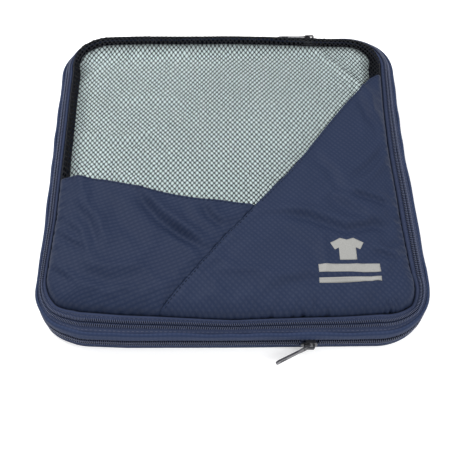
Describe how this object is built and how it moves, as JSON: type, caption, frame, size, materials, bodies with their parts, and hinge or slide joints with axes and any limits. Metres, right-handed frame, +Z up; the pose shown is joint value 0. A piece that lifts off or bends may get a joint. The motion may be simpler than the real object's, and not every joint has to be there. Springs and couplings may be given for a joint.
{
  "type": "packing cube",
  "caption": "Flat soft zipped packing cube with a hinged lid, a part-mesh top and a second zipper that lets the wall expand.",
  "frame": {"origin": "centre of the footprint on the table, under the middle of the closed wall", "axes": "+X to the right along the zipped front, +Y toward the rear hinge, +Z up"},
  "size_m": [0.27, 0.2739, 0.0387],
  "materials": {
    "ripstop": "ripstop weave, soft sheen",
    "lining": "thin plain weave",
    "binding": "ribbed tape",
    "zip_tape": "twill tape",
    "zip_coil": "satin nylon",
    "mesh": "open diamond net",
    "print": "flat print",
    "gunmetal": "satin dark plating"
  },
  "bodies": {
    "base": {"bottom_panel": "ripstop", "base_wall": "ripstop", "base_binding": "binding", "comp_tape_low": "zip_tape", "comp_coil_low": "zip_coil", "gusset": "lining"},
    "frame": {"comp_tape_up": "zip_tape", "comp_coil_up": "zip_coil", "mid_band": "ripstop", "frame_binding": "binding", "main_tape_low": "zip_tape", "main_coil_low": "zip_coil", "zip_end_tabs": "binding"},
    "lid": {"main_tape_up": "zip_tape", "main_coil_up": "zip_coil", "lid_binding": "binding", "hinge_strip": "ripstop", "mesh_window": "mesh", "left_panel": "ripstop", "right_panel": "ripstop", "window_tape": "binding", "panel_tape": "binding", "print_mark": "print"},
    "comp_runner": {"comp_slider": "gunmetal", "comp_bail": "gunmetal"},
    "comp_tab": {"comp_pull": "gunmetal"},
    "main_runner": {"main_slider": "gunmetal", "main_bail": "gunmetal"},
    "main_tab": {"main_pull": "gunmetal"}
  },
  "joints": [
    {"name": "expand", "type": "slide", "parent": "base", "child": "frame", "axis": [0, 0, 1], "range_m": [0, 0.045], "deforming": ["gusset"]},
    {"name": "lid_open", "type": "hinge", "parent": "frame", "child": "lid", "pos_m": [0, 0.1285, 0.0222], "axis": [-1, 0, 0], "range_deg": [0, 165]},
    {"name": "comp_slide", "type": "slide", "parent": "base", "child": "comp_runner", "axis": [-1, 0, 0], "range_m": [0, 0.138]},
    {"name": "comp_pull_swing", "type": "hinge", "parent": "comp_runner", "child": "comp_tab", "pos_m": [0.05, -0.1321, 0.009], "axis": [0, 0, 1], "range_deg": [-20, 140]},
    {"name": "main_slide", "type": "slide", "parent": "frame", "child": "main_runner", "axis": [1, 0, 0], "range_m": [0, 0.023]},
    {"name": "main_pull_swing", "type": "hinge", "parent": "main_runner", "child": "main_tab", "pos_m": [0.066, 0.12407, 0.02825], "axis": [0, 0.866, -0.5], "range_deg": [0, 150]}
  ]
}
